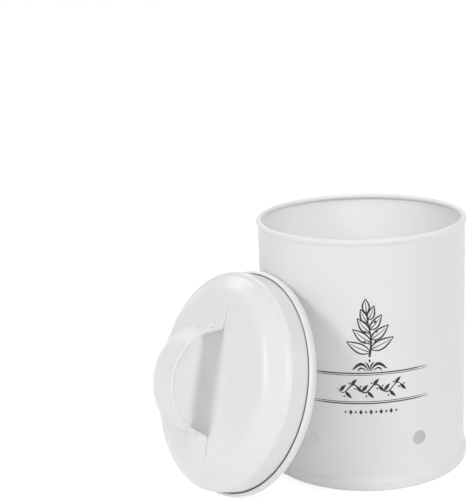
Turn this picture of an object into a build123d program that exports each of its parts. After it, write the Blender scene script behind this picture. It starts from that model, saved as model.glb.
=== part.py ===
from build123d import *
import os
from math import asin, cos, degrees, radians, sin, sqrt

# Garlic keeper: an open pressed-steel canister with its overcap lid leaning on it.
# Lengths are millimetres and angles are degrees. The origin is the centre of the
# canister's foot, +Z is up, and the lid leans on the -Y side.

# Sheet and clearances
sheet = 0.5                # steel sheet of the canister and the lid
layer_gap = 0.05           # between folded layers, and under the handle's feet
lean_gap = 0.3             # between the leaning lid and the canister's wall
lid_fit = 0.2              # radial play between the lid's bore and the rolled rim

# Canister
can_radius = 61.0          # outside of the wall
can_height = 148.0
rim_wire = 2.4             # diameter of the wire in the rolled rim
rim_overhang = 0.85        # rolled rim beyond the outside of the wall
rim_neck_radius = 3.0      # bend from the wall out to the rolled rim
rim_wrap = 305.0           # how far the sheet goes round the wire
foot_flare = 1.4           # foot ring beyond the outside of the wall
foot_flare_height = 4.3
foot_height = 4.2          # straight part of the foot ring
fold_radius = 0.3          # inside fold of the foot ring, to mid-sheet
base_height = 3.7          # underside of the base panel above the floor
base_corner = 0.8
base_ring_radius = 40.0    # pressed stiffening ring in the base panel
base_ring_width = 7.0
base_ring_height = 1.0

# Vent holes
vent_count = 6
vent_diameter = 8.5
vent_height = 29.0
vent_start = -9.0          # direction of the first vent, from +X

# Lid
lid_side_height = 16.8     # where the ledge would meet the wall if the shoulder were sharp
lid_shoulder = 2.5         # outside radius of the shoulder
ledge_width = 3.05         # narrow ledge inside the shoulder, from the outside of the wall
ledge_rise = 0.7
ledge_bend = 2.0
crown_slope_width = 9.0    # from the ledge in to the edge of the raised crown
crown_step = 7.5           # from the ledge up to the crown's edge
crown_bend = 10.0          # outside radius round the crown's edge
crown_rise = 1.6           # dome of the crown itself
curl_width = 2.4           # rolled lip beyond the lid's wall
curl_height = 4.5
curl_top_angle = 100.0     # how far the lip's upper edge turns back to the wall
lid_lean = 20.0            # lid's rim plane from the vertical
lid_aside = -8.8           # lid's centre beside the canister's, along X

# Handle
strap_width = 20.0         # over the rolled edges
strap_sheet = 0.9
strap_arch_radius = 29.9   # to mid-sheet
strap_arch_height = 25.1   # centre of the arch above the lid's rim plane
foot_margin = 7.0          # from the end of each foot out to the crown's edge
strap_bend = 2.4           # bend between arch and foot, to mid-sheet
strap_corner = 3.0         # rounded corners of the feet
edge_bead = 2.0            # diameter of the rolled edges
edge_inset = 0.5           # from the outside of the rolled edges in to the sheet's edge
edge_bead_start = 10.0     # angle up the arch where the rolled edges begin
dart_width = 3.0           # pressed dart across each bend
dart_leg = 3.4             # dart along foot and arch, from mid-sheet
handle_turn = 9.2          # handle's line from the upright, about the lid's axis
handle_offset = -1.3       # handle's middle from the lid's axis, along the strap

half_sheet = sheet / 2


def sheet_outline(path, thickness):
    # Closed outline of a sheet that is centred on the path, with rounded edges
    return offset(path.wires()[0], amount=thickness / 2, side=Side.BOTH)


# --- Canister wall: rolled rim, flared foot, vent holes ---

wall_mid = can_radius - half_sheet
rim_roll = rim_wire / 2 + layer_gap + half_sheet
rim_outer = can_radius + rim_overhang
rim_centre = rim_outer - rim_roll - half_sheet
rim_level = can_height - rim_roll - half_sheet

neck_centre = wall_mid + rim_neck_radius
neck_reach = rim_neck_radius + rim_roll
neck_level = rim_level - sqrt(neck_reach**2 - (neck_centre - rim_centre)**2)
neck_angle = degrees(asin((rim_level - neck_level) / neck_reach))

foot_mid = wall_mid + foot_flare
layer_pitch = sheet + layer_gap
base_skirt_mid = foot_mid - layer_pitch
fold_mid = base_skirt_mid - layer_pitch
fold_top = base_height + half_sheet - base_corner
flare_top = foot_height + foot_flare_height
flare_half = (foot_mid - wall_mid) / 2

with BuildPart() as can_wall:
    with BuildSketch(Plane.XZ) as wall_section:
        with BuildLine(mode=Mode.PRIVATE) as wall_path:
            fold = FilletPolyline(
                (fold_mid, fold_top),
                (fold_mid, half_sheet),
                (foot_mid, half_sheet),
                (foot_mid, foot_height),
                radius=fold_radius,
            )
            flare_middle = (wall_mid + flare_half, foot_height + foot_flare_height / 2)
            lower_flare = TangentArc(fold @ 1, flare_middle, tangent=(0, 1))
            upper_flare = TangentArc(lower_flare @ 1, (wall_mid, flare_top), tangent=lower_flare % 1)
            side = Line((wall_mid, flare_top), (wall_mid, neck_level))
            neck = CenterArc((neck_centre, neck_level), rim_neck_radius, 180, -neck_angle)
            CenterArc((rim_centre, rim_level), rim_roll, -neck_angle, rim_wrap)
        with BuildLine():
            sheet_outline(wall_path, sheet)
        make_face()
    revolve(axis=Axis.Z)
    with PolarLocations(0, vent_count, start_angle=vent_start):
        with Locations(Location((can_radius, 0, vent_height), (0, 90, 0))):
            Cylinder(vent_diameter / 2, can_radius / 2, mode=Mode.SUBTRACT)

can_wall.part.label = "can_wall"


# --- Rim wire: closed ring inside the rolled rim ---

with BuildPart() as rim_ring:
    with BuildSketch(Plane.XZ) as wire_section:
        with Locations((rim_centre, rim_level)):
            Circle(rim_wire / 2)
    revolve(axis=Axis.Z)

rim_ring.part.label = "rim_wire"


# --- Base: recessed panel, with its skirt held in the fold of the foot ring ---

panel_mid = base_height + half_sheet
skirt_end = sheet + layer_gap + half_sheet
ring_inner = base_ring_radius - base_ring_width / 2
ring_outer = base_ring_radius + base_ring_width / 2

with BuildPart() as can_base:
    with BuildSketch(Plane.XZ) as base_section:
        with BuildLine(mode=Mode.PRIVATE) as base_path:
            FilletPolyline(
                (-sheet, panel_mid),
                (ring_inner, panel_mid),
                (ring_inner + base_ring_height, panel_mid + base_ring_height),
                (ring_outer - base_ring_height, panel_mid + base_ring_height),
                (ring_outer, panel_mid),
                (base_skirt_mid, panel_mid),
                (base_skirt_mid, skirt_end),
                radius=base_corner,
            )
        with BuildLine():
            sheet_outline(base_path, sheet)
        make_face()
        with Locations((-sheet, 0)):
            Rectangle(2 * sheet, 2 * can_height, mode=Mode.SUBTRACT)
    revolve(axis=Axis.Z)

can_base.part.label = "can_base"


# --- Where the lid leans ---

lid_bore = rim_outer + lid_fit
lid_outer = lid_bore + sheet
lid_mid = lid_bore + half_sheet
lip_roll = curl_width / 2
lip_outer_roll = lip_roll + half_sheet
lip_centre = lid_mid + lip_roll


def lean_distance(steps=720):
    # How far the lid's centre stands from the canister's axis, so that the round
    # lower edge of the lip clears the wall by the lean gap all the way round
    reach = can_radius + lean_gap + lip_outer_roll
    furthest = 0.0
    for step in range(steps):
        turn = radians(360 * step / steps)
        along_x = lid_aside + lip_centre * sin(turn)
        along_y = lip_centre * cos(turn) * sin(radians(lid_lean))
        if abs(along_x) < reach:
            furthest = max(furthest, along_y + sqrt(reach**2 - along_x**2))
    return furthest - lip_outer_roll * cos(radians(lid_lean))


lid_level = (lip_centre * cos(radians(lid_lean))
             + lip_outer_roll * (1 - sin(radians(lid_lean))))
lid_axis = (0, -cos(radians(lid_lean)), sin(radians(lid_lean)))
lid_plane = Plane(origin=(lid_aside, -lean_distance(), lid_level), x_dir=(1, 0, 0), z_dir=lid_axis)
lid_section_plane = Plane(origin=lid_plane.origin, x_dir=lid_plane.x_dir, z_dir=-lid_plane.y_dir)
lid_turn_axis = Axis(lid_plane.origin, lid_plane.z_dir)


# --- Lid: raised crown, ledge, shoulder, wall and rolled lip in one sheet ---

ledge_radius = lid_outer - ledge_width
ledge_level = lid_side_height + ledge_rise
crown_edge_radius = ledge_radius - crown_slope_width
crown_edge_level = ledge_level + crown_step
crown_radius = (crown_edge_radius**2 + crown_rise**2) / (2 * crown_rise)
crown_centre = crown_edge_level + crown_rise - crown_radius
crown_mid_radius = crown_radius - half_sheet
crown_angle = degrees(asin(crown_edge_radius / crown_radius))
overrun_angle = degrees(asin(sheet / crown_mid_radius))

with BuildPart() as lid_shell:
    with BuildSketch(lid_section_plane) as lid_section:
        with BuildLine(mode=Mode.PRIVATE) as lid_path:
            crown = CenterArc((0, crown_centre), crown_mid_radius, 90 + overrun_angle,
                              -(crown_angle + overrun_angle))
            ledge_corner = Vector(ledge_radius, ledge_level - half_sheet)
            shoulder_corner = Vector(lid_mid, lid_side_height - half_sheet)
            Polyline(crown @ 1, ledge_corner, shoulder_corner, (lid_mid, lip_outer_roll))
            for corner, bend_radius in (
                (crown @ 1, crown_bend - half_sheet),
                (ledge_corner, ledge_bend + half_sheet),
                (shoulder_corner, lid_shoulder - half_sheet),
            ):
                fillet(lid_path.vertices().sort_by_distance(corner)[0], radius=bend_radius)
            CenterArc((lip_centre, lip_outer_roll), lip_roll, 180, 180)
            Line((lip_centre + lip_roll, lip_outer_roll),
                 (lip_centre + lip_roll, curl_height - lip_outer_roll))
            CenterArc((lip_centre, curl_height - lip_outer_roll), lip_roll, 0, curl_top_angle)
        with BuildLine():
            sheet_outline(lid_path, sheet)
        make_face()
        with Locations((-sheet, 0)):
            Rectangle(2 * sheet, 2 * crown_radius, mode=Mode.SUBTRACT)
    revolve(axis=lid_turn_axis)

lid_shell.part.label = "lid_shell"


# --- Handle: arched strap with rolled edges and flat feet, spot-welded to the crown ---

handle_line = lid_plane.y_dir.rotate(lid_turn_axis, handle_turn)
handle_plane = Plane(origin=lid_plane.origin + handle_line * handle_offset,
                     x_dir=handle_line.cross(lid_plane.z_dir), z_dir=lid_plane.z_dir)
handle_section_plane = Plane(origin=handle_plane.origin, x_dir=handle_plane.y_dir,
                             z_dir=handle_plane.x_dir)
arch_axis = Axis(handle_plane.origin + handle_plane.z_dir * strap_arch_height, handle_plane.x_dir)

half_strap = strap_sheet / 2
strap_foot_end = crown_edge_radius - foot_margin
foot_under_radius = crown_radius + layer_gap
foot_mid_radius = foot_under_radius + half_strap
foot_level = crown_centre + sqrt(foot_mid_radius**2 - strap_arch_radius**2)
bead_direction = (handle_line * cos(radians(edge_bead_start))
                  + handle_plane.z_dir * sin(radians(edge_bead_start)))
bead_plane = Plane(origin=arch_axis.position, x_dir=handle_plane.x_dir,
                   z_dir=handle_plane.x_dir.cross(bead_direction))
bead_aside = (strap_width - edge_bead) / 2
sheet_aside = strap_width / 2 - edge_inset

with BuildPart() as lid_handle:
    with BuildSketch(handle_section_plane) as strap_section:
        with Locations((-handle_offset, crown_centre)):
            Circle(foot_mid_radius + half_strap)
        with Locations((0, foot_level)):
            Rectangle(2 * strap_foot_end, 2 * strap_arch_radius, mode=Mode.INTERSECT)
        with Locations((0, strap_arch_height)):
            Circle(strap_arch_radius + half_strap)
            Circle(strap_arch_radius - half_strap, mode=Mode.SUBTRACT)
        with Locations((-handle_offset, crown_centre)):
            Circle(foot_under_radius, mode=Mode.SUBTRACT)
        corners = strap_section.vertices().sort_by(Axis.X)
        fillet([corners[2], corners[-3]], radius=strap_bend - half_strap)
        fillet(strap_section.vertices().sort_by(SortBy.DISTANCE)[:2], radius=strap_bend + half_strap)
    extrude(amount=sheet_aside, both=True)
    with BuildSketch(handle_section_plane):
        with BuildLine():
            Polyline(
                (strap_arch_radius, foot_level),
                (strap_arch_radius + dart_leg, foot_level),
                (strap_arch_radius, foot_level + dart_leg),
                close=True,
            )
        make_face()
        mirror(about=Plane.YZ)
    extrude(amount=dart_width / 2, both=True)
    with BuildSketch(handle_plane):
        RectangleRounded(strap_width, 2 * strap_foot_end, strap_corner)
    extrude(amount=2 * (strap_arch_height + strap_arch_radius), mode=Mode.INTERSECT)
    with BuildSketch(bead_plane):
        with Locations((bead_aside, strap_arch_radius), (-bead_aside, strap_arch_radius)):
            Circle(edge_bead / 2)
    revolve(axis=arch_axis, revolution_arc=180 - 2 * edge_bead_start)

lid_handle.part.label = "lid_handle"


os.makedirs("parts", exist_ok=True)
for piece in (can_wall.part, rim_ring.part, can_base.part, lid_shell.part, lid_handle.part):
    export_step(piece, f"parts/{piece.label}.step")
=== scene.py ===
import math

import bmesh
import bpy
from mathutils import Matrix, Vector


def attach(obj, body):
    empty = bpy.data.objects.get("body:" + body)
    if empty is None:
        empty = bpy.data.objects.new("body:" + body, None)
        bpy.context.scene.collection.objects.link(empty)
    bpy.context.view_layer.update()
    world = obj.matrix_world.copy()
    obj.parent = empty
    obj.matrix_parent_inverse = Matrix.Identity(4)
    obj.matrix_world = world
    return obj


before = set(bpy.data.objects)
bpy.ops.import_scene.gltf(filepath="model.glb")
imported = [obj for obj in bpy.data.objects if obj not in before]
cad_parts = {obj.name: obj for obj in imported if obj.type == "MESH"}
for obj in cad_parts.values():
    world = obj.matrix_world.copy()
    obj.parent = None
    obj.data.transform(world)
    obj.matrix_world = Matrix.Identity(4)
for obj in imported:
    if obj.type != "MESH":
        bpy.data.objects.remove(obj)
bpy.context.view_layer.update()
print("frame loaded:", len(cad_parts), "nodes")


# Shared node groups

def newGroup(name, inputs, outputs):
    group = bpy.data.node_groups.new(name, "ShaderNodeTree")
    for socketName, kind, value in inputs:
        socket = group.interface.new_socket(socketName, in_out="INPUT", socket_type=kind)
        socket.default_value = value
    for socketName, kind in outputs:
        group.interface.new_socket(socketName, in_out="OUTPUT", socket_type=kind)
    entry = group.nodes.new("NodeGroupInput")
    leave = group.nodes.new("NodeGroupOutput")
    return group, entry, leave


def noiseNode(nodes, links, coords, scale, detail):
    noise = nodes.new("ShaderNodeTexNoise")
    noise.inputs["Detail"].default_value = detail
    links.new(coords, noise.inputs["Vector"])
    if isinstance(scale, float):
        noise.inputs["Scale"].default_value = scale
    else:
        links.new(scale, noise.inputs["Scale"])
    return noise


def mathNode(nodes, links, operation, first, second):
    node = nodes.new("ShaderNodeMath")
    node.operation = operation
    for socket, value in zip(node.inputs, (first, second)):
        if isinstance(value, (int, float)):
            socket.default_value = value
        else:
            links.new(value, socket)
    return node.outputs["Value"]


def makeOrangePeel():
    # The soft dimples of baked powder, with finer grain over them
    group, entry, leave = newGroup(
        "orangePeel",
        [("Dimples", "NodeSocketFloat", 700.0), ("Grain", "NodeSocketFloat", 4200.0),
         ("Grain Share", "NodeSocketFloat", 0.25)],
        [("Height", "NodeSocketFloat")])
    nodes, links = group.nodes, group.links
    coords = nodes.new("ShaderNodeTexCoord").outputs["Object"]
    dimples = noiseNode(nodes, links, coords, entry.outputs["Dimples"], detail=1.0)
    grain = noiseNode(nodes, links, coords, entry.outputs["Grain"], detail=2.0)
    fine = mathNode(nodes, links, "MULTIPLY", grain.outputs["Fac"], entry.outputs["Grain Share"])
    total = mathNode(nodes, links, "ADD", dimples.outputs["Fac"], fine)
    links.new(total, leave.inputs["Height"])
    return group


toneLook = dict(speckScale=1900.0, speckFrom=0.74, speckTo=0.80, glossDrift=0.12)


def makeCoatTone(look):
    # Slow drift in the coat's tone and gloss, and the odd darker speck in the powder
    group, entry, leave = newGroup(
        "coatTone",
        [("Coat", "NodeSocketColor", (0.86, 0.86, 0.86, 1)),
         ("Drift", "NodeSocketFloat", 0.02), ("Drift Scale", "NodeSocketFloat", 28.0),
         ("Speck", "NodeSocketFloat", 0.03), ("Roughness", "NodeSocketFloat", 0.45)],
        [("Color", "NodeSocketColor"), ("Roughness", "NodeSocketFloat")])
    nodes, links = group.nodes, group.links
    coords = nodes.new("ShaderNodeTexCoord").outputs["Object"]
    drift = noiseNode(nodes, links, coords, entry.outputs["Drift Scale"], detail=3.0)
    centred = mathNode(nodes, links, "SUBTRACT", drift.outputs["Fac"], 0.5)
    shift = mathNode(nodes, links, "MULTIPLY", centred, entry.outputs["Drift"])
    specks = noiseNode(nodes, links, coords, look["speckScale"], detail=0.0)
    rare = nodes.new("ShaderNodeMapRange")
    rare.inputs["From Min"].default_value = look["speckFrom"]
    rare.inputs["From Max"].default_value = look["speckTo"]
    links.new(specks.outputs["Fac"], rare.inputs["Value"])
    dark = mathNode(nodes, links, "MULTIPLY", rare.outputs["Result"], entry.outputs["Speck"])
    level = mathNode(nodes, links, "SUBTRACT", mathNode(nodes, links, "ADD", 1.0, shift), dark)
    tone = nodes.new("ShaderNodeVectorMath")
    tone.operation = "SCALE"
    links.new(entry.outputs["Coat"], tone.inputs[0])
    links.new(level, tone.inputs["Scale"])
    links.new(tone.outputs["Vector"], leave.inputs["Color"])
    gloss = mathNode(nodes, links, "MULTIPLY", centred, look["glossDrift"])
    links.new(mathNode(nodes, links, "ADD", entry.outputs["Roughness"], gloss),
              leave.inputs["Roughness"])
    return group


nookSamples = 12


def makeCreaseShade():
    # Painted shade: a mask that is 1 in tight creases, where ambient occlusion finds them shut, to
    # darken the coat there
    group, entry, leave = newGroup(
        "creaseShade",
        [("Reach", "NodeSocketFloat", 0.0012), ("Open", "NodeSocketFloat", 0.42),
         ("Shut", "NodeSocketFloat", 0.16)],
        [("Mask", "NodeSocketFloat")])
    nodes, links = group.nodes, group.links
    nook = nodes.new("ShaderNodeAmbientOcclusion")
    nook.samples = nookSamples
    links.new(entry.outputs["Reach"], nook.inputs["Distance"])
    fade = nodes.new("ShaderNodeMapRange")
    links.new(nook.outputs["AO"], fade.inputs["Value"])
    links.new(entry.outputs["Open"], fade.inputs["From Min"])
    links.new(entry.outputs["Shut"], fade.inputs["From Max"])
    links.new(fade.outputs["Result"], leave.inputs["Mask"])
    return group


def makeInsideLight():
    # 1 inside a round wall and below its rim, where painted light makes the coat paler
    group, entry, leave = newGroup(
        "insideLight",
        [("Radius", "NodeSocketFloat", 0.06075), ("Top", "NodeSocketFloat", 0.1445)],
        [("Mask", "NodeSocketFloat")])
    nodes, links = group.nodes, group.links
    split = nodes.new("ShaderNodeSeparateXYZ")
    links.new(nodes.new("ShaderNodeTexCoord").outputs["Object"], split.inputs["Vector"])
    flat = nodes.new("ShaderNodeCombineXYZ")
    links.new(split.outputs["X"], flat.inputs["X"])
    links.new(split.outputs["Y"], flat.inputs["Y"])
    away = nodes.new("ShaderNodeVectorMath")
    away.operation = "LENGTH"
    links.new(flat.outputs["Vector"], away.inputs[0])
    inner = mathNode(nodes, links, "LESS_THAN", away.outputs["Value"], entry.outputs["Radius"])
    low = mathNode(nodes, links, "LESS_THAN", split.outputs["Z"], entry.outputs["Top"])
    links.new(mathNode(nodes, links, "MULTIPLY", inner, low), leave.inputs["Mask"])
    return group


def makeRingGrooveShade():
    # Painted shadow: 1 in a groove that runs round an axis, between two radii and below a level
    # along it, and fainter with height above the centre, where the groove opens to the light
    group, entry, leave = newGroup(
        "ringGrooveShade",
        [("Centre", "NodeSocketVector", (0, 0, 0)), ("Axis", "NodeSocketVector", (0, 0, 1)),
         ("Inner", "NodeSocketFloat", 0.0624), ("Outer", "NodeSocketFloat", 0.0632),
         ("Level", "NodeSocketFloat", 0.0044), ("Fade", "NodeSocketFloat", 0.0004),
         ("Rise", "NodeSocketFloat", 0.052), ("Top Share", "NodeSocketFloat", 0.4)],
        [("Mask", "NodeSocketFloat")])
    nodes, links = group.nodes, group.links

    def vectorMath(operation, first, second=None, scale=None):
        node = nodes.new("ShaderNodeVectorMath")
        node.operation = operation
        links.new(first, node.inputs[0])
        if second is not None:
            links.new(second, node.inputs[1])
        if scale is not None:
            links.new(scale, node.inputs["Scale"])
        return node.outputs

    coords = nodes.new("ShaderNodeTexCoord").outputs["Object"]
    fromCentre = vectorMath("SUBTRACT", coords, entry.outputs["Centre"])["Vector"]
    along = vectorMath("DOT_PRODUCT", fromCentre, entry.outputs["Axis"])["Value"]
    onAxis = vectorMath("SCALE", entry.outputs["Axis"], scale=along)["Vector"]
    across = vectorMath("LENGTH", vectorMath("SUBTRACT", fromCentre, onAxis)["Vector"])["Value"]
    beyond = mathNode(nodes, links, "GREATER_THAN", across, entry.outputs["Inner"])
    before = mathNode(nodes, links, "LESS_THAN", across, entry.outputs["Outer"])
    fade = nodes.new("ShaderNodeMapRange")
    links.new(along, fade.inputs["Value"])
    links.new(entry.outputs["Level"], fade.inputs["From Max"])
    links.new(mathNode(nodes, links, "ADD", entry.outputs["Level"], entry.outputs["Fade"]),
              fade.inputs["From Min"])
    ring = mathNode(nodes, links, "MULTIPLY", beyond, before)
    split = nodes.new("ShaderNodeSeparateXYZ")
    links.new(fromCentre, split.inputs["Vector"])
    lit = nodes.new("ShaderNodeMapRange")
    links.new(split.outputs["Z"], lit.inputs["Value"])
    links.new(entry.outputs["Rise"], lit.inputs["From Max"])
    lit.inputs["To Min"].default_value = 1.0
    links.new(entry.outputs["Top Share"], lit.inputs["To Max"])
    dark = mathNode(nodes, links, "MULTIPLY", fade.outputs["Result"], lit.outputs["Result"])
    links.new(mathNode(nodes, links, "MULTIPLY", ring, dark), leave.inputs["Mask"])
    return group


orangePeel = makeOrangePeel()
coatTone = makeCoatTone(toneLook)
creaseShade = makeCreaseShade()
insideLight = makeInsideLight()
ringGrooveShade = makeRingGrooveShade()


def placeGroup(material, group, values):
    node = material.node_tree.nodes.new("ShaderNodeGroup")
    node.node_tree = group
    for name, value in values.items():
        node.inputs[name].default_value = value
    return node


def newMaterial(name):
    material = bpy.data.materials.new(name)
    material.use_nodes = True
    return material, material.node_tree.nodes["Principled BSDF"]


def addBump(material, shader, height, strength, distance):
    bump = material.node_tree.nodes.new("ShaderNodeBump")
    bump.inputs["Strength"].default_value = strength
    bump.inputs["Distance"].default_value = distance
    material.node_tree.links.new(height, bump.inputs["Height"])
    material.node_tree.links.new(bump.outputs["Normal"], shader.inputs["Normal"])


def mixColours(material, mask, first, second):
    mix = material.node_tree.nodes.new("ShaderNodeMix")
    mix.data_type = "RGBA"
    links = material.node_tree.links
    links.new(mask, mix.inputs["Factor"])
    for socket, value in ((mix.inputs["A"], first), (mix.inputs["B"], second)):
        if isinstance(value, float):
            socket.default_value = (value, value, value, 1)
        else:
            links.new(value, socket)
    return mix.outputs["Result"]


def powderCoat(name, look):
    material, shader = newMaterial(name)
    links = material.node_tree.links
    tone = placeGroup(material, coatTone, {
        "Coat": (look["grey"],) * 3 + (1,), "Drift": look["drift"], "Speck": look["speck"],
        "Roughness": look["roughness"]})
    # Painted light: the coat inside the canister is paler, to brighten its shaded interior
    if "inner" in look:
        inside = placeGroup(material, insideLight, {})
        links.new(mixColours(material, inside.outputs["Mask"], look["grey"], look["inner"]),
                  tone.inputs["Coat"])
    # Painted shade: creases take the dark crease grey
    shadeMask = placeGroup(material, creaseShade, {}).outputs["Mask"]
    # Painted shadow in the groove above the lid's rolled lip also takes the crease grey
    if "grooveShade" in look:
        grooveShade = placeGroup(material, ringGrooveShade, look["grooveShade"])
        shadeMask = mathNode(material.node_tree.nodes, links, "MAXIMUM", shadeMask, grooveShade.outputs["Mask"])
    links.new(mixColours(material, shadeMask, tone.outputs["Color"], look["creaseShadeGrey"]),
              shader.inputs["Base Color"])
    links.new(tone.outputs["Roughness"], shader.inputs["Roughness"])
    peel = placeGroup(material, orangePeel, {
        "Dimples": look["dimples"], "Grain": look["grain"], "Grain Share": look["grainShare"]})
    addBump(material, shader, peel.outputs["Height"], look["peel"], look["peelDepth"])
    shader.inputs["Specular IOR Level"].default_value = look["specular"]
    return material


def dress(node, material):
    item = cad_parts[node]
    item.data.materials.clear()
    item.data.materials.append(material)


# The coat that all four enamelled pieces share; its crease grey is the dark grey of the painted
# shade in its creases
coatLook = dict(grey=0.86, drift=0.015, speck=0.02, roughness=0.46, specular=0.45,
                dimples=650.0, grain=3800.0, grainShare=0.25, peel=0.35, peelDepth=0.00003,
                creaseShadeGrey=0.04)

# Canister wall, with painted light that makes it paler inside
wallLook = dict(coatLook, inner=0.93)
dress("can_wall", powderCoat("canisterCoat", wallLook))

# Base panel, a little rougher where the powder lands thin, and paler with the wall's painted light
# inside
baseLook = dict(wallLook, roughness=0.55, drift=0.03, dimples=520.0, speck=0.04)
dress("can_base", powderCoat("baseCoat", baseLook))

# Lid, with painted shadow in the groove above its rolled lip. Centre and Axis are the lid's as it
# leans.
lidLook = dict(coatLook, roughness=0.33, specular=0.5, drift=0.012, dimples=600.0,
               grooveShade={"Centre": (-0.0088, -0.08295, 0.06062), "Axis": (0.0, -0.93969, 0.34202),
                       "Inner": 0.0624, "Outer": 0.0632, "Level": 0.0044, "Fade": 0.0004,
                       "Rise": 0.052, "Top Share": 0.4})
dress("lid_shell", powderCoat("lidCoat", lidLook))

# Strap handle, rubbed slightly smoother by fingers
strapLook = dict(coatLook, roughness=0.36, specular=0.5, dimples=720.0, peel=0.4)
dress("lid_handle", powderCoat("strapCoat", strapLook))
print("powder coats done")

# Rim wire, hidden in the rolled rim
wireLook = dict(grey=0.55, dark=0.9, light=1.05, blue=1.02, roughness=0.38, streakScale=900.0,
                stretch=(0.1, 0.1, 1.0), bump=0.3, bumpDepth=0.00001)


def drawnWire(look):
    material, shader = newMaterial("drawnWire")
    nodes, links = material.node_tree.nodes, material.node_tree.links
    coords = nodes.new("ShaderNodeTexCoord")
    squash = nodes.new("ShaderNodeMapping")
    squash.inputs["Scale"].default_value = look["stretch"]
    links.new(coords.outputs["Object"], squash.inputs["Vector"])
    streaks = noiseNode(nodes, links, squash.outputs["Vector"], look["streakScale"], detail=3.0)
    ramp = nodes.new("ShaderNodeValToRGB")
    for element, share in zip(ramp.color_ramp.elements, (look["dark"], look["light"])):
        level = look["grey"] * share
        element.color = (level, level, level * look["blue"], 1)
    links.new(streaks.outputs["Fac"], ramp.inputs["Fac"])
    links.new(ramp.outputs["Color"], shader.inputs["Base Color"])
    addBump(material, shader, streaks.outputs["Fac"], look["bump"], look["bumpDepth"])
    shader.inputs["Metallic"].default_value = 1.0
    shader.inputs["Roughness"].default_value = look["roughness"]
    return material


dress("rim_wire", drawnWire(wireLook))


# Printed ornament on the canister's wall. The pieces of print below are drawn in mm, across
# from the print's middle and up from the floor.

printLook = dict(
    facing=-36.3,          # direction of the print's middle, degrees from +X
    tilt=0.79,             # degrees that the print runs uphill to the right
    tiltHeight=0.0623,     # height that it is tilted about
    wallRadius=0.061,
    inkOut=0.00004,        # ink above the wall
    inkIn=0.00006,         # and into it
    thinnest=0.02,         # narrowest stroke, mm
    ink=0.012, blue=0.95, drift=0.5, driftScale=160.0, speck=0.1, roughness=0.42, peel=0.3)


def onWall(across, height, radius):
    slope = math.radians(printLook["tilt"])
    lift = height - printLook["tiltHeight"]
    turned = across * math.cos(slope) - lift * math.sin(slope)
    level = printLook["tiltHeight"] + across * math.sin(slope) + lift * math.cos(slope)
    angle = math.radians(printLook["facing"]) + turned / printLook["wallRadius"]
    return Vector((radius * math.cos(angle), radius * math.sin(angle), level))


def smoothLine(points, steps=10):
    # Catmull-Rom through the points, with their widths
    padded = [points[0], *points, points[-1]]
    line = []
    for a, b, c, d in zip(padded, padded[1:], padded[2:], padded[3:]):
        for step in range(steps):
            t = step / steps
            line.append(tuple(
                0.5 * (2 * q + (r - p) * t + (2 * p - 5 * q + 4 * r - s) * t * t
                       + (3 * q - p - 3 * r + s) * t ** 3)
                for p, q, r, s in zip(a, b, c, d)))
    line.append(tuple(points[-1]))
    return line


def inkStroke(mesh, line):
    # One pen stroke: a closed ribbon that follows the wall, from (across, height, width) in mm
    outside = printLook["wallRadius"] + printLook["inkOut"]
    inside = printLook["wallRadius"] - printLook["inkIn"]
    rings = []
    for index, (across, height, width) in enumerate(line):
        before, after = line[max(index - 1, 0)], line[min(index + 1, len(line) - 1)]
        along = Vector((after[0] - before[0], after[1] - before[1]))
        side = Vector((-along.y, along.x)).normalized() * max(width, printLook["thinnest"]) / 2
        left = ((across + side.x) / 1000, (height + side.y) / 1000)
        right = ((across - side.x) / 1000, (height - side.y) / 1000)
        rings.append([mesh.verts.new(onWall(*point, radius)) for point, radius in
                      ((left, outside), (right, outside), (right, inside), (left, inside))])
    for one, two in zip(rings, rings[1:]):
        for k in range(4):
            mesh.faces.new((one[k], one[(k + 1) % 4], two[(k + 1) % 4], two[k]))
    mesh.faces.new(rings[0][::-1])
    mesh.faces.new(rings[-1])


def inkDot(mesh, across, height, radius, tall=1.0, corners=20):
    # A dot, or with four corners a lozenge
    outside = printLook["wallRadius"] + printLook["inkOut"]
    inside = printLook["wallRadius"] - printLook["inkIn"]
    rims = []
    for level in (outside, inside):
        rims.append([mesh.verts.new(onWall(
            (across + radius * math.cos(2 * math.pi * k / corners)) / 1000,
            (height + tall * radius * math.sin(2 * math.pi * k / corners)) / 1000, level))
            for k in range(corners)])
    front, back = rims
    mesh.faces.new(front)
    mesh.faces.new(back[::-1])
    for k in range(corners):
        mesh.faces.new((front[k], back[k], back[(k + 1) % corners], front[(k + 1) % corners]))


leafLook = dict(steps=24, swellPower=0.8, endPen=0.6, middlePen=0.5, rib=0.82, ribPen=0.8,
                ribTaper=0.6)


def leafStroke(mesh, base, angle, length, fullness, bend, pen=None):
    # A leaf from its base: filled, or in outline with a midrib where a pen's width is given
    look = leafLook
    along = Vector((math.cos(math.radians(angle)), math.sin(math.radians(angle))))
    aside = Vector((-along.y, along.x))

    def at(share, off):
        curve = bend * share * share
        point = Vector(base) + along * (length * share) + aside * (off + curve)
        return point.x, point.y

    shares = [k / look["steps"] for k in range(look["steps"] + 1)]
    swell = [math.sin(math.pi * s ** look["swellPower"]) * fullness for s in shares]
    if pen is None:
        inkStroke(mesh, [(*at(s, 0), 2 * w) for s, w in zip(shares, swell)])
        return
    for sign in (-1, 1):
        inkStroke(mesh, [
            (*at(s, sign * w), pen * (look["endPen"] + look["middlePen"] * math.sin(math.pi * s)))
            for s, w in zip(shares, swell)])
    inkStroke(mesh, [(*at(s * look["rib"], 0), pen * look["ribPen"] * (1 - s * look["ribTaper"]))
                     for s in shares])


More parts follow.
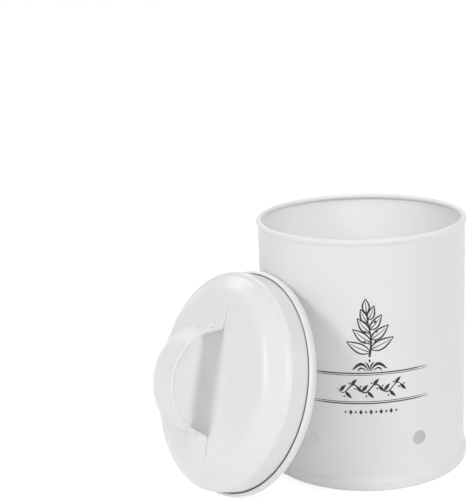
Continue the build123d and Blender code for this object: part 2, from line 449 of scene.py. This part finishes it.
def makeInk(look):
    # Dense black ink that has baked into the coat, so it keeps the coat's dimples
    material, shader = newMaterial("printInk")
    tone = placeGroup(material, coatTone, {
        "Coat": (look["ink"], look["ink"], look["ink"] * look["blue"], 1),
        "Drift": look["drift"], "Drift Scale": look["driftScale"], "Speck": look["speck"],
        "Roughness": look["roughness"]})
    material.node_tree.links.new(tone.outputs["Color"], shader.inputs["Base Color"])
    material.node_tree.links.new(tone.outputs["Roughness"], shader.inputs["Roughness"])
    peel = placeGroup(material, orangePeel, {"Dimples": wallLook["dimples"]})
    addBump(material, shader, peel.outputs["Height"], look["peel"], wallLook["peelDepth"])
    return material


inkMaterial = makeInk(printLook)


def finishInk(name, mesh):
    bmesh.ops.recalc_face_normals(mesh, faces=mesh.faces)
    data = bpy.data.meshes.new(name)
    mesh.to_mesh(data)
    mesh.free()
    piece = bpy.data.objects.new(name, data)
    bpy.context.scene.collection.objects.link(piece)
    piece.data.materials.append(inkMaterial)
    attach(piece, "canister")


# Double rules: a thick line with a thin one inside it, both thinner at their ends
ruleLook = dict(halfLength=34.7, upper=71.4, lower=53.3, apart=1.1, thick=0.68, thin=0.38,
                steps=96, endPen=0.25, endRise=6)


def makeRules(look):
    mesh = bmesh.new()
    reach, steps = look["halfLength"], look["steps"]
    for height, inward in ((look["upper"], -1), (look["lower"], 1)):
        inner = height + inward * look["apart"]
        for level, pen in ((height, look["thick"]), (inner, look["thin"])):
            inkStroke(mesh, [
                (-reach + 2 * reach * k / steps, level,
                 pen * min(1.0, look["endPen"] + look["endRise"] * min(k, steps - k) / steps))
                for k in range(steps + 1)])
    finishInk("print_rules", mesh)


# Flourish on the upper rule: mirrored curling leaves with a bud between them
flourishLook = dict(
    base=72.4, pen=1.12, budRadius=0.55, budHeight=78.7, budTall=1.6,
    outer=[(0.7, 0.0, 0.2), (2.2, 2.9, 0.9), (4.7, 4.5, 1.5), (7.2, 3.4, 1.3), (8.9, 1.7, 0.7),
           (9.9, 1.6, 0.2)],
    inner=[(2.0, 0.0, 0.2), (3.2, 1.5, 0.6), (4.9, 2.1, 0.8), (6.2, 1.2, 0.7), (6.3, 0.3, 0.3)],
    centre=[(0.2, 0.3, 0.15), (0.5, 2.4, 0.7), (1.2, 4.2, 0.8), (2.6, 5.6, 0.2)])


def makeFlourish(look):
    mesh = bmesh.new()
    for side in (-1, 1):
        for part in ("outer", "inner", "centre"):
            inkStroke(mesh, smoothLine([(side * x, look["base"] + y, width * look["pen"])
                                        for x, y, width in look[part]]))
    inkDot(mesh, 0, look["budHeight"], look["budRadius"], tall=look["budTall"])
    finishInk("print_flourish", mesh)


# Upright sprig: a stem with pairs of leaves, berries on stalks between them, and a leaf on top
sprigLook = dict(
    foot=81.0, stem=26.0, stemPen=1.25, stemTaper=0.6, steps=20, lean=1.1, leanWaves=1.4,
    pairs=4, pen=0.80, lowShare=0.14, highShare=0.80, stagger=0.9, leaf=14.4, leafShrink=0.40,
    fullness=2.7, fullnessShrink=0.3, lowAngle=18.0, angleGain=34.0, leafBend=2.0,
    stalkFoot=3.6, stalkOut=2.6, stalkRise=1.4, stalkPen=0.3,
    berry=0.7, berryOut=3.1, berryUp=5.3,
    tip=8.2, tipSink=0.4, tipAngle=92, tipFullness=1.9)


def makeSprig(look):
    mesh = bmesh.new()

    def stemAt(share):
        return (look["lean"] * math.sin(math.pi * share * look["leanWaves"]),
                look["foot"] + look["stem"] * share)

    steps = look["steps"]
    inkStroke(mesh, [(*stemAt(k / steps), look["stemPen"] * (1 - look["stemTaper"] * k / steps))
                     for k in range(steps + 1)])
    for pair in range(look["pairs"]):
        rise = pair / (look["pairs"] - 1)
        share = look["lowShare"] + (look["highShare"] - look["lowShare"]) * rise
        x, y = stemAt(share)
        length = look["leaf"] * (1 - look["leafShrink"] * rise)
        fullness = look["fullness"] * (1 - look["fullnessShrink"] * rise)
        raised = look["lowAngle"] + look["angleGain"] * rise
        for side in (-1, 1):
            leafStroke(mesh, (x, y + look["stagger"] * side), raised if side > 0 else 180 - raised,
                       length, fullness, look["leafBend"] * side, look["pen"])
        if pair < look["pairs"] - 1:
            for side in (-1, 1):
                inkStroke(mesh, [(x + side * t * look["stalkOut"],
                                  y + look["stalkFoot"] + look["stalkRise"] * t, look["stalkPen"])
                                 for t in (0, 0.5, 1)])
                inkDot(mesh, x + side * look["berryOut"], y + look["berryUp"], look["berry"])
    x, y = stemAt(1.0)
    leafStroke(mesh, (x, y - look["tipSink"]), look["tipAngle"], look["tip"], look["tipFullness"],
               0.0, look["pen"])
    finishInk("print_sprig", mesh)


# Running vine between the rules, with leaves and berries on either side in turn
vineLook = dict(middle=62.2, halfLength=18.6, waves=3.0, sway=2.4, steps=120,
                pen=0.72, middlePen=1.15, endTaper=0.85, leavesPerWave=4, leaf=5.4,
                leafAngle=58, leafBend=-0.9, fullness=0.95, berry=0.5, berryAway=2.3)


def makeVine(look):
    mesh = bmesh.new()
    reach, waves, steps = look["halfLength"], look["waves"], look["steps"]

    def sway(x):
        return look["middle"] + look["sway"] * math.sin(math.pi * waves * (x / reach))

    def penAt(x):
        return look["pen"] * (look["middlePen"] - look["endTaper"] * abs(x / reach) ** 3)

    inkStroke(mesh, [(x, sway(x), penAt(x))
                     for x in (-reach + 2 * reach * k / steps for k in range(steps + 1))])
    count = int(look["leavesPerWave"] * waves)
    for k in range(count):
        x = -reach + 2 * reach * (k + 0.5) / count
        side = 1 if k % 2 == 0 else -1
        leafStroke(mesh, (x, sway(x)), side * look["leafAngle"], look["leaf"], look["fullness"],
                   look["leafBend"] * side)
        away = look["berryAway"]
        inkDot(mesh, x + away, sway(x + away) - side * away, look["berry"])
    finishInk("print_vine", mesh)


# Row of large and small lozenges below the rules, with a dot at each end
lozengeLook = dict(middle=48.1, halfRow=11.4, count=9, tall=1.6, wide=1.0, small=0.62,
                   dotAt=14.4, dot=0.62)


def makeLozenges(look):
    mesh = bmesh.new()
    for k in range(look["count"]):
        across = -look["halfRow"] + 2 * look["halfRow"] * k / (look["count"] - 1)
        size = 1.0 if k % 2 == 0 else look["small"]
        inkDot(mesh, across, look["middle"], look["wide"] * size, tall=look["tall"] / look["wide"],
               corners=4)
    for side in (-1, 1):
        inkDot(mesh, side * look["dotAt"], look["middle"], look["dot"])
    finishInk("print_lozenges", mesh)


makeRules(ruleLook)
makeFlourish(flourishLook)
makeSprig(sprigLook)
makeVine(vineLook)
makeLozenges(lozengeLook)
print("print done")


# Camera

cameraLook = dict(place=(0.5005558, -0.4215071, 0.3013990), heading=56.528, pitch=14.7834,
                  roll=-2.6872, lens=81.2437, sensor=36.0, near=0.05, far=50.0)


def makeCamera(look):
    data = bpy.data.cameras.new("studioCamera")
    data.lens, data.sensor_width = look["lens"], look["sensor"]
    data.clip_start, data.clip_end = look["near"], look["far"]
    camera = bpy.data.objects.new("studioCamera", data)
    camera.matrix_world = (
        Matrix.Translation(look["place"])
        @ Matrix.Rotation(math.radians(look["heading"]), 4, "Z")
        @ Matrix.Rotation(math.radians(90 - look["pitch"]), 4, "X")
        @ Matrix.Rotation(math.radians(look["roll"]), 4, "Z"))
    bpy.context.scene.collection.objects.link(camera)
    bpy.context.scene.camera = camera


makeCamera(cameraLook)
print("camera done")


# Floor, world and lamps

studioLook = dict(floorGrey=0.92, floorGlow=0.50, floorRoughness=0.9, floorSpecular=0.1,
                  floorSize=12.0, floorDrop=0.0001, ambient=0.15)


def seenStraight(nodes, links):
    # 1 for rays from the camera and for what shows in gloss or glass
    path = nodes.new("ShaderNodeLightPath")
    either = mathNode(nodes, links, "MAXIMUM", path.outputs["Is Camera Ray"],
                      path.outputs["Is Glossy Ray"])
    return mathNode(nodes, links, "MAXIMUM", either, path.outputs["Is Transmission Ray"])


def makeWorld(look):
    world = bpy.data.worlds.new("studioWorld")
    bpy.context.scene.world = world
    world.use_nodes = True
    nodes, links = world.node_tree.nodes, world.node_tree.links
    background = nodes["Background"]
    background.inputs["Color"].default_value = (1, 1, 1, 1)
    lift = mathNode(nodes, links, "MULTIPLY", seenStraight(nodes, links), 1 - look["ambient"])
    links.new(mathNode(nodes, links, "ADD", lift, look["ambient"]), background.inputs["Strength"])


def makeFloor(look):
    # Pale paper, just below the object's foot
    half, level = look["floorSize"] / 2, -look["floorDrop"]
    data = bpy.data.meshes.new("studioFloor")
    data.from_pydata([(-half, -half, level), (half, -half, level), (half, half, level),
                      (-half, half, level)], [], [(0, 1, 2, 3)])
    floor = bpy.data.objects.new("studioFloor", data)
    bpy.context.scene.collection.objects.link(floor)
    material, shader = newMaterial("studioPaper")
    nodes, links = material.node_tree.nodes, material.node_tree.links
    shader.inputs["Base Color"].default_value = (look["floorGrey"],) * 3 + (1,)
    shader.inputs["Roughness"].default_value = look["floorRoughness"]
    shader.inputs["Specular IOR Level"].default_value = look["floorSpecular"]
    shader.inputs["Emission Color"].default_value = (1, 1, 1, 1)
    links.new(mathNode(nodes, links, "MULTIPLY", seenStraight(nodes, links), look["floorGlow"]),
              shader.inputs["Emission Strength"])
    data.materials.append(material)


def placeLamp(name, data, look):
    lamp = bpy.data.objects.new(name, data)
    around, up = math.radians(look["around"]), math.radians(look["up"])
    facing = Vector((math.cos(around) * math.cos(up), math.sin(around) * math.cos(up),
                     math.sin(up)))
    lamp.location = Vector(look["aim"]) + facing * look["away"]
    lamp.rotation_mode = "QUATERNION"
    lamp.rotation_quaternion = facing.to_track_quat("Z", "Y")
    bpy.context.scene.collection.objects.link(lamp)


def makeSnoot(name, look):
    data = bpy.data.lights.new(name, "SPOT")
    data.energy, data.shadow_soft_size = look["power"], look["size"]
    data.spot_size, data.spot_blend = math.radians(look["cone"]), look["soft"]
    placeLamp(name, data, look)


def makeDistant(name, look):
    data = bpy.data.lights.new(name, "SUN")
    data.angle, data.energy = math.radians(look["width"]), look["strength"]
    placeLamp(name, data, look)


# Snooted lamps aimed into the open canister, which fill its inside. Every lamp stands some
# degrees around from +X and some degrees up.
snootLooks = dict(
    fillLamp=dict(aim=(0.0, 0.0, 0.146), around=0, up=90, away=1.05, cone=5.6, soft=0.25,
                  size=0.03, power=9.0),
    mouthLamp=dict(aim=(-0.010, 0.007, 0.146), around=335, up=50, away=0.9, cone=4.8, soft=0.6,
                   size=0.03, power=11.0))

# Distant lamps as soft discs, with their width in degrees
farOff = dict(aim=(0, 0, 0), away=2.0)
distantLooks = dict(
    keyLamp=dict(farOff, around=264, up=30, width=20, strength=0.94),
    frontLamp=dict(farOff, around=341, up=23, width=40, strength=1.02),
    rightLamp=dict(farOff, around=40, up=26, width=30, strength=0.40),
    leftLamp=dict(farOff, around=170, up=40, width=20, strength=0.50),
    backLamp=dict(farOff, around=110, up=50, width=30, strength=0.50),
    topLamp=dict(farOff, around=290, up=70, width=30, strength=0.38))

makeWorld(studioLook)
makeFloor(studioLook)
for name, look in snootLooks.items():
    makeSnoot(name, look)
for name, look in distantLooks.items():
    makeDistant(name, look)
bpy.context.scene.view_settings.view_transform = "Standard"
print("studio done")
